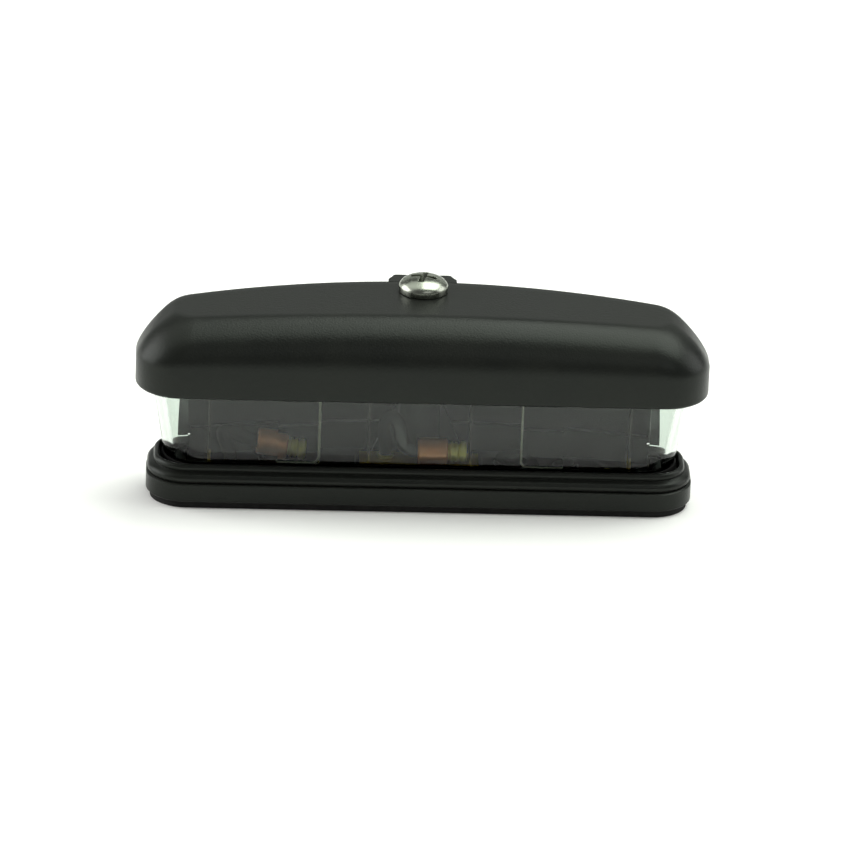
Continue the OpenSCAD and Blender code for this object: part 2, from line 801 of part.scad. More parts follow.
// Feed rivets end inside the floor above the groove; earth rivets go through to the strip
tail_h = 0.4;
blind_t = 0.8;
tail_edge = 0.4;
function rivet_foot_z(x) =
    is_feed(x) ? base_z + groove_depth + blind_t : base_z + groove_depth - brass_t - tail_h;

module contact_rivets() {
    color([0.7, 0.66, 0.5])
    for (x = rivet_xs) {
        top = (is_feed(x) ? pedestal_z : floor_z) + brass_t;
        translate([x, rivet_y(x), rivet_foot_z(x)]) {
            cylinder(d = rivet_dia, h = top - rivet_foot_z(x) + eps);
            if (!is_feed(x)) cylinder(d = rivet_dia + 2 * tail_edge, h = tail_h);
        }
        translate([x, rivet_y(x), top]) cylinder(d = rivet_head_dia, h = rivet_head_h);
    }
}

// Terminals of the leads
barrel_len = 5.8;
nose_len = 3.6;
// Top middle of the rivet heads that the leads start from
feed_head = [-feed_rivet_x, feed_rivet_y, pedestal_z + brass_t + rivet_head_h];
earth_head = [-earth_rivet_x, bulb_y, floor_z + brass_t + rivet_head_h];
earth_start = earth_head + [5.3, 4.7, 3];
earth_tilt = 7;
feed_axis_z = barrel_dia / 2 + fit - rivet_head_h;
feed_start = feed_head + [6.1, -3.3, feed_axis_z];
feed_tilt = 0;

module at_terminal(start, tilt) {
    translate(start) rotate([0, 90 + tilt, 0]) children();
}

module terminal(start, tilt) {
    edge = 0.3;
    plug = 2;
    outer = barrel_dia / 2;
    bore = lead_dia / 2 + fit;
    color([0.72, 0.45, 0.28])
    at_terminal(start, tilt) rotate_extrude()
        polygon([[bore, 0], [outer - edge, 0], [outer, edge],
                 [outer, barrel_len - edge], [outer - edge, barrel_len],
                 [0, barrel_len], [0, barrel_len - plug], [bore, barrel_len - plug]]);
}

module bullet(start, tilt) {
    r = bullet_dia / 2;
    color([0.8, 0.72, 0.35])
    at_terminal(start, tilt) translate([0, 0, barrel_len]) rotate_extrude()
        polygon([[0, 0], [r - 0.5, 0], [r - 0.5, 0.4], [r - 0.1, 0.6], [r - 0.1, 1.0],
                 [r - 0.4, 1.2], [r - 0.1, 1.4], [r - 0.1, 1.8], [r - 0.6, 2.1], [r - 0.2, 2.4],
                 [r, 2.7], [r, nose_len - 0.3], [r - 0.3, nose_len], [0.8, nose_len],
                 [0.6, nose_len - 0.8], [0, nose_len - 0.8]]);
}

// Leads, as tubes swept along points chosen by hand, counted from the rivet's head
lead_sides = 10;
earth_route = [[0, 0, 0.06], [0, 0, 0.9], [0, 0.05, 1.7], [-0.4, 0.7, 3], [-1.2, 2, 4.3],
               [-1.4, 3.4, 5.1], [-0.4, 4.4, 5], [1.5, 4.65, 4.3], [3.5, 4.7, 3.4], [5.3, 4.7, 3],
               [7.7, 4.7, 2.7]];
feed_route = [[0, 0, 0.04], [0, 0, 1.3], [-0.1, -0.05, 2.7], [-0.5, -0.3, 4.7], [-0.1, -1.1, 7.3],
              [1.1, -2, 8.7], [2.3, -2.8, 7.5], [2.8, -3.1, 5.1], [3.4, -3.25, 3.1],
              [4.5, -3.3, feed_axis_z + 0.3], [6.1, -3.3, feed_axis_z], [8.5, -3.3, feed_axis_z]];

function from_head(route, head) = [for (p = route) head + p];
function tangent(route, i) =
    let (a = route[max(0, i - 1)], b = route[min(len(route) - 1, i + 1)], d = b - a)
    d / norm(d);
function smooth(route, steps) =
    [for (i = [0:len(route) - 2], k = [0:steps - 1])
        let (t = k / steps,
             p0 = route[max(0, i - 1)], p1 = route[i], p2 = route[i + 1],
             p3 = route[min(len(route) - 1, i + 2)])
        0.5 * (2 * p1 + (p2 - p0) * t + (2 * p0 - 5 * p1 + 4 * p2 - p3) * t * t
               + (3 * p1 - p0 - 3 * p2 + p3) * t * t * t),
     route[len(route) - 1]];

module tube(route, dia) {
    n = len(route);
    m = lead_sides;
    points = [for (i = [0:n - 1], j = [0:m - 1])
        let (t = tangent(route, i), side = cross(t, [0, 1, 0]) / norm(cross(t, [0, 1, 0])),
             up = cross(side, t), a = 360 * j / m)
        route[i] + dia / 2 * (cos(a) * side + sin(a) * up)];
    walls = [for (i = [0:n - 2], j = [0:m - 1], half = [0, 1])
        let (a = i * m + j, b = i * m + (j + 1) % m)
        half == 0 ? [a, b, b + m] : [a, b + m, a + m]];
    polyhedron(points = points,
               faces = concat(walls, [[for (j = [m - 1:-1:0]) j]],
                              [[for (j = [0:m - 1]) (n - 1) * m + j]]));
}

module feed_lead() {
    color([0.05, 0.05, 0.05]) tube(smooth(from_head(feed_route, feed_head), 3), lead_dia);
}

module earth_lead() {
    color([0.05, 0.05, 0.05]) tube(smooth(from_head(earth_route, earth_head), 3), lead_dia);
}

module cable_grommet() {
    lip = 1.3;
    lip_round = 0.3;
    foot_z = 0.2;
    r = cable_hole_dia / 2;
    wall = 0.8;
    bore_r = r - wall;
    color([0.06, 0.06, 0.06])
    translate([cable_hole_x, cable_y, 0]) rotate_extrude()
        polygon([[bore_r, foot_z], [r + lip, foot_z], [r + lip, base_z], [r - fit, base_z],
                 [r - fit, floor_z], [r + lip, floor_z], [r + lip - lip_round, floor_z + grommet_lip_t],
                 [bore_r, floor_z + grommet_lip_t]]);
}

base();
mounting_gasket();
lens();
lens_seal();
hood();
hood_screw();
screw_insert();
bulb_glass(-1);  // bulb_glass_left
bulb_glass(1);  // bulb_glass_right
bulb_caps(-1);  // bulb_caps_left
bulb_caps(1);  // bulb_caps_right
filament(-1);  // filament_left
filament(1);  // filament_right
feed_contact();
earth_contact(-1);  // earth_contact_left
earth_contact(1);  // earth_contact_right
earth_strip();
contact_rivets();
terminal(feed_start, feed_tilt);  // feed_terminal
bullet(feed_start, feed_tilt);  // feed_bullet
terminal(earth_start, earth_tilt);  // earth_terminal
bullet(earth_start, earth_tilt);  // earth_bullet
feed_lead();
earth_lead();
cable_grommet();
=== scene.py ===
"""Looks of the number plate lamp: materials, smooth skins, floor, light and camera, in metres."""

import json
import math

import bmesh
import bpy
from mathutils import Matrix, Vector


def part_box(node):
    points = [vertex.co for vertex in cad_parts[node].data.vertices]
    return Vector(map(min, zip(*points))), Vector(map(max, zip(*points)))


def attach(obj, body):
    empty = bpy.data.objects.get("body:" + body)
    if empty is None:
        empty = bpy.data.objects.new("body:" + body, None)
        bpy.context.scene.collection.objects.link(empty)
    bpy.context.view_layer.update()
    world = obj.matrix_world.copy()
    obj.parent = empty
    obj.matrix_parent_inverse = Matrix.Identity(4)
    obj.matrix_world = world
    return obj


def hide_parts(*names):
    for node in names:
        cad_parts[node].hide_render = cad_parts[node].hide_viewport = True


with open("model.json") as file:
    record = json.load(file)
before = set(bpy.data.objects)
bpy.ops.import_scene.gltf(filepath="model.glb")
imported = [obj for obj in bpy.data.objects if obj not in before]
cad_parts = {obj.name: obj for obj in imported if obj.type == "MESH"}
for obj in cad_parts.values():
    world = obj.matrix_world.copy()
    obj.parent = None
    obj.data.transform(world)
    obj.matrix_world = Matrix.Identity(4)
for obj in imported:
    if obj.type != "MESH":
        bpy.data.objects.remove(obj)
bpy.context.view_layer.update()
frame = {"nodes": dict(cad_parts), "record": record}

MM = 0.001
BODY = "root"

# Noise between these two values is spread over a colour's or a roughness's whole range
NOISE_LOW = 0.3
NOISE_HIGH = 0.7

# The brass strip keeps its own colour below the first height, and above the second it is painted
# near-black as painted shade under the hood
SHADE_START = 7.8 * MM
SHADE_FULL = 9.8 * MM


# Materials

def new_material(name, color, roughness, metallic=0.0):
    """A material with its Principled shader and its shader graph's links."""
    material = bpy.data.materials.new(name)
    material.use_nodes = True
    tree = material.node_tree
    shader = tree.nodes["Principled BSDF"]
    shader.inputs["Base Color"].default_value = (*color, 1)
    shader.inputs["Roughness"].default_value = roughness
    shader.inputs["Metallic"].default_value = metallic
    return material, tree, shader


def object_noise(tree, scale, detail=3.0, stretch=(1, 1, 1)):
    """Noise in object space, so that it stays on the piece from every side."""
    place = tree.nodes.new("ShaderNodeTexCoord")
    mapping = tree.nodes.new("ShaderNodeMapping")
    mapping.inputs["Scale"].default_value = stretch
    noise = tree.nodes.new("ShaderNodeTexNoise")
    noise.inputs["Scale"].default_value = scale
    noise.inputs["Detail"].default_value = detail
    tree.links.new(place.outputs["Object"], mapping.inputs["Vector"])
    tree.links.new(mapping.outputs["Vector"], noise.inputs["Vector"])
    return noise


def add_bump(tree, shader, source, strength, distance):
    bump = tree.nodes.new("ShaderNodeBump")
    bump.inputs["Strength"].default_value = strength
    bump.inputs["Distance"].default_value = distance
    tree.links.new(source, bump.inputs["Height"])
    tree.links.new(bump.outputs["Normal"], shader.inputs["Normal"])


def vary(tree, shader, socket, source, low, high):
    """Spreads a noise between two values or two colours of a shader's socket."""
    if isinstance(low, tuple):
        ramp = tree.nodes.new("ShaderNodeValToRGB")
        ramp.color_ramp.elements[0].position = NOISE_LOW
        ramp.color_ramp.elements[1].position = NOISE_HIGH
        ramp.color_ramp.elements[0].color = (*low, 1)
        ramp.color_ramp.elements[1].color = (*high, 1)
        tree.links.new(source, ramp.inputs["Fac"])
        tree.links.new(ramp.outputs["Color"], shader.inputs[socket])
        return
    scaling = tree.nodes.new("ShaderNodeMapRange")
    scaling.inputs["From Min"].default_value = NOISE_LOW
    scaling.inputs["From Max"].default_value = NOISE_HIGH
    scaling.inputs["To Min"].default_value = low
    scaling.inputs["To Max"].default_value = high
    tree.links.new(source, scaling.inputs["Value"])
    tree.links.new(scaling.outputs["Result"], shader.inputs[socket])


def black_plastic():
    """Moulded black plastic with a fine grain."""
    material, tree, shader = new_material("black_plastic", (0.010, 0.011, 0.010), 0.32)
    shader.inputs["Specular IOR Level"].default_value = 0.2
    shader.inputs["Specular Tint"].default_value = (0.93, 1, 0.93, 1)
    grain = object_noise(tree, 3000, 2.0)
    patches = object_noise(tree, 90, 3.0)
    vary(tree, shader, "Base Color", patches.outputs["Fac"], (0.009, 0.010, 0.009), (0.012, 0.013, 0.011))
    vary(tree, shader, "Roughness", patches.outputs["Fac"], 0.30, 0.35)
    add_bump(tree, shader, grain.outputs["Fac"], 0.6, 0.00007)
    return material


def clear_plastic():
    """Polished clear plastic, very slightly uneven in tone."""
    material, tree, shader = new_material("clear_plastic", (0.72, 0.77, 0.73), 0.0)
    shader.inputs["Transmission Weight"].default_value = 1
    shader.inputs["IOR"].default_value = 1.38
    haze = object_noise(tree, 60, 2.0)
    vary(tree, shader, "Base Color", haze.outputs["Fac"], (0.70, 0.75, 0.71), (0.74, 0.79, 0.75))
    return material


def frosted_plastic():
    """The clear plastic's matt edges, which catch the light."""
    material, tree, shader = new_material("frosted_plastic", (0.6, 0.63, 0.52), 0.45)
    shader.inputs["Transmission Weight"].default_value = 0.25
    streaks = object_noise(tree, 500, 2.0)
    vary(tree, shader, "Base Color", streaks.outputs["Fac"], (0.50, 0.53, 0.42), (0.75, 0.78, 0.66))
    return material


def bulb_glass():
    material, tree, shader = new_material("bulb_glass", (0.97, 0.98, 0.98), 0.0)
    shader.inputs["Transmission Weight"].default_value = 1
    shader.inputs["IOR"].default_value = 1.47
    haze = object_noise(tree, 200, 1.0)
    vary(tree, shader, "Roughness", haze.outputs["Fac"], 0.0, 0.02)
    return material


def rubber():
    material, tree, shader = new_material("rubber", (0.010, 0.010, 0.010), 0.8)
    shader.inputs["Specular IOR Level"].default_value = 0.25
    dust = object_noise(tree, 700, 3.0)
    vary(tree, shader, "Base Color", dust.outputs["Fac"], (0.007, 0.007, 0.007), (0.014, 0.014, 0.013))
    add_bump(tree, shader, dust.outputs["Fac"], 0.3, 0.00005)
    return material


def metal(name, low, high, rough_low, rough_high, metallic=1.0, scale=400, bump=0.08):
    """A metal whose colour and roughness vary a little."""
    material, tree, shader = new_material(name, low, rough_low, metallic)
    wear = object_noise(tree, scale, 3.0)
    vary(tree, shader, "Base Color", wear.outputs["Fac"], low, high)
    vary(tree, shader, "Roughness", wear.outputs["Fac"], rough_low, rough_high)
    add_bump(tree, shader, wear.outputs["Fac"], bump, 0.00003)
    return material


def brass_strip():
    """Brass strip in its own colour near the base's floor, darkened above by painted shade."""
    material, tree, shader = new_material("brass_strip", (0.7, 0.5, 0.1), 0.4, 0.5)
    wear = object_noise(tree, 400, 3.0)
    bright = tree.nodes.new("ShaderNodeValToRGB")
    bright.color_ramp.elements[0].position = NOISE_LOW
    bright.color_ramp.elements[1].position = NOISE_HIGH
    bright.color_ramp.elements[0].color = (0.72, 0.50, 0.08, 1)
    bright.color_ramp.elements[1].color = (0.86, 0.64, 0.12, 1)
    place = tree.nodes.new("ShaderNodeTexCoord")
    split = tree.nodes.new("ShaderNodeSeparateXYZ")
    height = tree.nodes.new("ShaderNodeMapRange")
    height.inputs["From Min"].default_value = SHADE_START
    height.inputs["From Max"].default_value = SHADE_FULL
    shade_mix = tree.nodes.new("ShaderNodeMix")
    shade_mix.data_type = "RGBA"
    # Painted shade: the near-black colour that the strip fades to above the shade heights
    shade_mix.inputs["B"].default_value = (0.022, 0.019, 0.013, 1)
    tree.links.new(wear.outputs["Fac"], bright.inputs["Fac"])
    tree.links.new(place.outputs["Object"], split.inputs["Vector"])
    tree.links.new(split.outputs["Z"], height.inputs["Value"])
    tree.links.new(height.outputs["Result"], shade_mix.inputs["Factor"])
    tree.links.new(bright.outputs["Color"], shade_mix.inputs["A"])
    tree.links.new(shade_mix.outputs["Result"], shader.inputs["Base Color"])
    vary(tree, shader, "Roughness", wear.outputs["Fac"], 0.34, 0.5)
    add_bump(tree, shader, wear.outputs["Fac"], 0.08, 0.00003)
    return material


def lead_sleeve():
    material, tree, shader = new_material("lead_sleeve", (0.008, 0.008, 0.008), 0.18)
    scuffs = object_noise(tree, 500, 2.0)
    vary(tree, shader, "Roughness", scuffs.outputs["Fac"], 0.12, 0.22)
    return material


MATERIALS = {
    "black_plastic": black_plastic(),
    "clear_plastic": clear_plastic(),
    "rubber": rubber(),
    "zinc_steel": metal("zinc_steel", (0.29, 0.31, 0.26), (0.40, 0.42, 0.36), 0.22, 0.34),
    "brass": metal("brass", (0.84, 0.74, 0.14), (0.94, 0.86, 0.24), 0.3, 0.45, 0.4),
    "brass_strip": brass_strip(),
    "copper": metal("copper", (0.76, 0.30, 0.12), (0.90, 0.40, 0.18), 0.3, 0.45, 0.4),
    "bulb_glass": bulb_glass(),
    "nickel_plate": metal("nickel_plate", (0.58, 0.56, 0.50), (0.70, 0.68, 0.62), 0.2, 0.35),
    "tungsten": metal("tungsten", (0.20, 0.20, 0.22), (0.30, 0.30, 0.32), 0.4, 0.6),
    "lead_sleeve": lead_sleeve(),
}
FROSTED = frosted_plastic()
SLOT_OF = {part["node"]: part["material_slot"] for part in frame["record"]["subparts"]}


def give_material(obj, slot):
    obj.data.materials.clear()
    obj.data.materials.append(MATERIALS[slot])


# Skins of the CAD nodes

WELD_DISTANCE = 1e-7
FLAT_DEGREES = 0.3
SMOOTH_DEGREES = 35
BEVEL_SEGMENTS = 2
BEVEL_DEGREES = 35


def smooth_by_angle(mesh, degrees):
    for polygon in mesh.polygons:
        polygon.use_smooth = True
    mesh.set_sharp_from_angle(angle=math.radians(degrees))


def add_piece(name, bm, node, degrees):
    """A piece made of a bmesh, which stands for a CAD node and takes its slot."""
    mesh = bpy.data.meshes.new(name)
    bm.to_mesh(mesh)
    bm.free()
    smooth_by_angle(mesh, degrees)
    piece = bpy.data.objects.new(name, mesh)
    bpy.context.scene.collection.objects.link(piece)
    give_material(piece, SLOT_OF[node])
    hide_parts(node)
    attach(piece, BODY)
    return piece


def welded(node):
    """The mesh of a CAD node with shared corners and undivided flat faces."""
    bm = bmesh.new()
    bm.from_mesh(frame["nodes"][node].data)
    bmesh.ops.remove_doubles(bm, verts=bm.verts, dist=WELD_DISTANCE)
    bmesh.ops.dissolve_limit(bm, angle_limit=math.radians(FLAT_DEGREES), verts=bm.verts, edges=bm.edges)
    bmesh.ops.recalc_face_normals(bm, faces=bm.faces)
    return bm


def add_bevel(piece, width):
    bevel = piece.modifiers.new("edges", "BEVEL")
    bevel.width = width
    bevel.segments = BEVEL_SEGMENTS
    bevel.limit_method = "ANGLE"
    bevel.angle_limit = math.radians(BEVEL_DEGREES)
    bevel.harden_normals = False
    bevel.use_clamp_overlap = True


# Forms that are lofted here more finely than in the CAD model, all in metres

HOOD_LOW, HOOD_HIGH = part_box("hood")
BASE_LOW, BASE_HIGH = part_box("base")
LENS_LOW, LENS_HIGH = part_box("lens")
HALF_HOOD = HOOD_HIGH.x
HALF_BASE = BASE_HIGH.x
HOOD_FRONT = HOOD_LOW.y
BASE_FRONT = BASE_LOW.y
TOWER_BACK = HOOD_HIGH.y
TOP = HOOD_HIGH.z
SKIRT_LOW = HOOD_LOW.z
TOWER_OUT = 2.3 * MM
HOOD_BACK = TOWER_BACK - TOWER_OUT
RIM = 23.5 * MM
WALL = 2.2 * MM
SHOULDER_RISE = 9.2 * MM
SHOULDER_FRONT = 7.8 * MM
SHOULDER_SIDE = 7.7 * MM
SIDE_POWER = 1.45
CORNER = 8.8 * MM
TOP_CORNER = 3.8 * MM
BULGE = 8.4 * MM
BACK_ARC = (HALF_HOOD ** 2 + BULGE ** 2) / (2 * BULGE)
CROWN = 2.1 * MM
BACK_EDGE = 1.4 * MM
RIM_ROUND = 0.8 * MM
SOFT_EDGE = 1.2 * MM
SKIRT_HALF = HALF_HOOD - 8.6 * MM
SKIRT_LEAN = 1.2 * MM
SHOULDER_END = math.radians(78)
CORNER_SPARE = 0.05 * MM

LINE_STEPS = 16
CORNER_STEPS = 22
SHOULDER_STEPS = 26
ROUND_STEPS = 6


def corner_fit(half, depth, arc, radius):
    """The corner radius, or the largest one that this D-shaped outline can take."""
    q = 2 * arc - depth - half
    limit = math.sqrt(q * q - (arc - depth) ** 2 + arc * arc - half * half) - q
    return min(radius, limit - CORNER_SPARE)


def line_shares(mark=None):
    """Shares of the straight front at which stations stand, with one more at a mark."""
    shares = {i / LINE_STEPS for i in range(LINE_STEPS + 1)}
    if mark is not None:
        shares.add(mark)
    return sorted(shares)


def d_ring(half, front, back, arc, radius, z, drop=0.0, shares=None, back_radius=None):
    """Points of a D-shaped outline: the front from left to right, then the back from right to left."""
    rb = corner_fit(half, back - front, arc, radius if back_radius is None else back_radius)
    corner_y = back - arc + math.sqrt((arc - half) * (arc + half - 2 * rb))
    r = min(radius, corner_y - front - CORNER_SPARE)
    cx = half - r
    back_cx = half - rb
    side = [cx * share for share in shares or line_shares()]
    side += [cx + r * math.sin(math.pi / 2 * i / CORNER_STEPS) for i in range(1, CORNER_STEPS + 1)]
    xs = [-x for x in reversed(side)] + side[1:]
    touch = back_cx + rb * back_cx / (arc - rb)

    def front_y(x):
        u = abs(x) - cx
        return front if u <= 0 else front + r - math.sqrt(max(0.0, r * r - u * u))

    def back_y(x):
        u = abs(x)
        if u <= touch:
            return back - arc + math.sqrt(arc * arc - u * u)
        return corner_y + math.sqrt(max(0.0, rb * rb - (u - back_cx) ** 2))

    def height(x):
        return z - drop * (x / HALF_HOOD) ** 2

    return ([Vector((x, front_y(x), height(x))) for x in xs]
            + [Vector((x, back_y(x), height(x))) for x in reversed(xs)])


def add_strip(bm, low, high):
    """Quads between two rows of corners, where both rows have them."""
    for i in range(len(low) - 1):
        quad = (low[i], low[i + 1], high[i + 1], high[i])
        if None not in quad:
            bm.faces.new(quad)


def add_loop(bm, low, high):
    add_strip(bm, low + low[:1], high + high[:1])


def add_cap(bm, ring):
    """A cap across a D-shaped ring, as strips from front to back."""
    count = len(ring) // 2
    front, back = ring[:count], ring[count:][::-1]
    add_strip(bm, front, back)


def edge_in(z, top):
    """How far the back edge's rounding draws the back in at a height."""
    h = z - (top - BACK_EDGE)
    return 0.0 if h <= 0 else BACK_EDGE - math.sqrt(max(0.0, BACK_EDGE ** 2 - h * h))


def shoulder_rings(wall, shares):
    """Rings of the rounded shoulder, drawn in by a wall, from its foot to the top face."""
    top = TOP - wall
    rings = []
    for step in range(SHOULDER_STEPS + 1):
        angle = SHOULDER_END * step / SHOULDER_STEPS
        run = (1 - math.cos(angle)) / (1 - math.cos(SHOULDER_END))
        rise = min(1.0, math.sin(angle) / math.sin(SHOULDER_END))
        side_run = 1 - (1 - rise ** SIDE_POWER) ** (1 / SIDE_POWER)
        z = TOP - SHOULDER_RISE + (SHOULDER_RISE - wall) * rise
        back_in = wall + edge_in(z, top)
        rings.append(d_ring(
            HALF_HOOD - wall - SHOULDER_SIDE * side_run, HOOD_FRONT + wall + SHOULDER_FRONT * run,
            HOOD_BACK - back_in, BACK_ARC - back_in,
            CORNER - wall - (CORNER - TOP_CORNER) * run, z, CROWN * rise, shares))
    back_in += SOFT_EDGE
    rings.append(d_ring(
        HALF_HOOD - wall - SHOULDER_SIDE - SOFT_EDGE, HOOD_FRONT + wall + SHOULDER_FRONT + SOFT_EDGE,
        HOOD_BACK - back_in, BACK_ARC - back_in, TOP_CORNER - wall - SOFT_EDGE, top, CROWN, shares))
    return rings


def hood_ring(inset, back_in, z, shares):
    return d_ring(HALF_HOOD - inset, HOOD_FRONT + inset, HOOD_BACK - back_in, BACK_ARC - back_in,
                  CORNER - inset, z, 0.0, shares)


def skirt_foot(x, inset):
    """A corner of the back wall's lower edge, which is a little wider than the rim's opening."""
    wide = x * (SKIRT_HALF + SKIRT_LEAN) / SKIRT_HALF
    arc = BACK_ARC - inset
    return Vector((wide, HOOD_BACK - inset - arc + math.sqrt(arc * arc - wide * wide), SKIRT_LOW))


def hood_shell():
    """The hood's wall: its rounded rim, shoulder and crowned top, and the back wall below the rim."""
    bm = bmesh.new()
    shares = line_shares(SKIRT_HALF / (HALF_HOOD - CORNER))
    count = len(hood_ring(0, 0, RIM, shares))
    half = count // 2

    def corners(ring):
        return [bm.verts.new(p) for p in ring]

    plain = hood_ring(0, 0, RIM, shares)
    in_skirt = [i >= half and abs(p.x) < SKIRT_HALF + 1e-6 for i, p in enumerate(plain)]
    inside = [i for i in range(count) if in_skirt[i]]
    first, last = inside[0], inside[-1]
    outer = [corners(r) for r in shoulder_rings(0, shares)]
    inner = [corners(r) for r in shoulder_rings(WALL, shares)]
    for rows in (outer, inner):
        for low, high in zip(rows, rows[1:]):
            add_loop(bm, low, high)
        add_cap(bm, rows[-1])
    wall_foot = corners(hood_ring(0, 0, RIM + RIM_ROUND, shares))
    inner_foot = corners(hood_ring(WALL, WALL, RIM, shares))
    add_loop(bm, wall_foot, outer[0])
    add_loop(bm, inner_foot, inner[0])

    lip = []
    for step in range(1, ROUND_STEPS + 1):
        angle = math.pi / 2 * step / ROUND_STEPS
        inset = RIM_ROUND * (1 - math.cos(angle))
        ring = hood_ring(inset, 0, RIM + RIM_ROUND * (1 - math.sin(angle)), shares)
        lip.append([None if first < i < last else bm.verts.new(p) for i, p in enumerate(ring)])
    open_inner = [None if first < i < last else v for i, v in enumerate(inner_foot)]
    open_foot = [None if first < i < last else v for i, v in enumerate(wall_foot)]
    for low, high in zip(lip, [open_foot] + lip):
        add_loop(bm, low, high)
    add_loop(bm, lip[-1], open_inner)

    skirt_out = {i: bm.verts.new(skirt_foot(plain[i].x, 0)) for i in inside}
    skirt_in = {i: bm.verts.new(skirt_foot(plain[i].x, WALL)) for i in inside}
    for a, b in zip(inside, inside[1:]):
        bm.faces.new((skirt_out[a], skirt_out[b], wall_foot[b], wall_foot[a]))
        bm.faces.new((skirt_in[a], skirt_in[b], inner_foot[b], inner_foot[a]))
        bm.faces.new((skirt_out[a], skirt_out[b], skirt_in[b], skirt_in[a]))
    for i in (first, last):
        bm.faces.new([skirt_out[i], wall_foot[i]] + [row[i] for row in lip]
                     + [inner_foot[i], skirt_in[i]])
    return bm


def add_prism(bm, outline, low, high):
    """A closed prism from a flat outline between two heights."""
    bottom = [bm.verts.new((x, y, low)) for x, y in outline]
    top = [bm.verts.new((x, y, high)) for x, y in outline]
    add_loop(bm, bottom, top)
    bm.faces.new(top)
    bm.faces.new(bottom[::-1])


TOWER_ROOT = 13.2 * MM / 2
TOWER_TIP = 11.4 * MM / 2
TOWER_ROUND = 0.7 * MM
TOWER_SINK = 1.35 * MM


def tower():
    """The screw tower behind the hood, down to the base."""
    bm = bmesh.new()
    half = [(TOWER_ROOT, HOOD_BACK - TOWER_SINK), (TOWER_ROOT, HOOD_BACK)]
    for step in range(ROUND_STEPS + 1):
        angle = math.pi / 2 * step / ROUND_STEPS
        half.append((TOWER_TIP - TOWER_ROUND + TOWER_ROUND * math.cos(angle),
                     TOWER_BACK - TOWER_ROUND + TOWER_ROUND * math.sin(angle)))
    add_prism(bm, half + [(-x, y) for x, y in reversed(half)], SKIRT_LOW, TOP)
    return bm


def add_box(bm, low, high):
    add_prism(bm, [(low[0], low[1]), (high[0], low[1]), (high[0], high[1]), (low[0], high[1])],
              low[2], high[2])


def merged(*parts):
    """One bmesh with the faces of several."""
    whole = bmesh.new()
    for part in parts:
        bmesh.ops.recalc_face_normals(part, faces=part.faces)
        mesh = bpy.data.meshes.new("part")
        part.to_mesh(mesh)
        part.free()
        whole.from_mesh(mesh)
        bpy.data.meshes.remove(mesh)
    return whole


STOP_XS = [-38 * MM, -15 * MM, 15 * MM, 38 * MM]
STOP_T = 1.4 * MM
STOP_SINK = 0.4 * MM
STOP_REACH = 4 * MM
END_STOP_IN = 2.3 * MM
END_STOP_SETBACK = 1 * MM
LENS_TOP = LENS_HIGH.z
WALL_TOP = TOP - SHOULDER_RISE


def hood_ribs():
    """The short ribs inside the hood that press on the lens's top edge."""
    bm = bmesh.new()
    for x in STOP_XS:
        add_box(bm, (x - STOP_T / 2, HOOD_FRONT + WALL - STOP_SINK, LENS_TOP),
                (x + STOP_T / 2, BASE_FRONT + STOP_REACH, WALL_TOP))
    for side in (-1, 1):
        ends = sorted((side * (HALF_HOOD - WALL + STOP_SINK), side * (HALF_BASE - END_STOP_IN)))
        front = HOOD_FRONT + CORNER + END_STOP_SETBACK
        add_box(bm, (ends[0], front, LENS_TOP), (ends[1], front + STOP_T, WALL_TOP))
    return bm


add_piece("hood_shell", merged(hood_shell(), tower(), hood_ribs()), "hood", 25)

# The lens: a clear wall round the front and both ends, and two feet

RIM_IN = 2.6 * MM
LENS_GAP = 0.6 * MM
LENS_IN = RIM_IN + LENS_GAP
LENS_WALL = 2 * MM
LENS_END = SKIRT_HALF - 1.6 * MM
LENS_FLARE = Vector((2.9, 1.2, 0.2)) * MM
LENS_CORNER = 8 * MM
LENS_BACK_CORNER = 4.5 * MM
RIB_GAP = 0.4 * MM
RIB_T = 1.2 * MM
RIB_FRONT = LENS_IN + LENS_WALL + RIB_GAP
RIB_BACK = RIB_FRONT + RIB_T
RIB_TOP = 7.7 * MM
FOOT_INNER = 19.2 * MM
FOOT_WIDTH = 8.2 * MM
FOOT_ROUND = 1.4 * MM
FOOT_BEVEL = 1.8 * MM
FOOT_TOP = RIM - 1 * MM
EDGE_R = 0.24 * MM
EDGE_SIDES = 10
LENS_FOOT = 7.9 * MM
BACK_STEPS = 24
END_SPARE = 0.2 * MM
SOLE_OVERLAP = 0.5 * MM
SOLE_ARC_RISE = 0.1 * MM
HAIR = 0.001 * MM


def lens_ring(inset, share, shares):
    return d_ring(
        HALF_BASE - inset + LENS_FLARE.x * share, BASE_FRONT + inset - LENS_FLARE.y * share,
        HOOD_BACK - inset + LENS_FLARE.z * share, BACK_ARC - inset, LENS_CORNER + LENS_IN - inset,
        LENS_FOOT + (LENS_HIGH.z - LENS_FOOT) * share, 0.0, shares, LENS_BACK_CORNER + LENS_IN - inset)


def spread(line, steps):
    """The same line with its points at equal distances."""
    length = [0.0]
    for a, b in zip(line, line[1:]):
        length.append(length[-1] + (b - a).length)
    points = []
    for step in range(steps + 1):
        goal = length[-1] * step / steps
        i = min(max(k for k in range(len(line)) if length[k] <= goal + 1e-9), len(line) - 2)
        share = (goal - length[i]) / (length[i + 1] - length[i])
        points.append(line[i].lerp(line[i + 1], share))
    return points


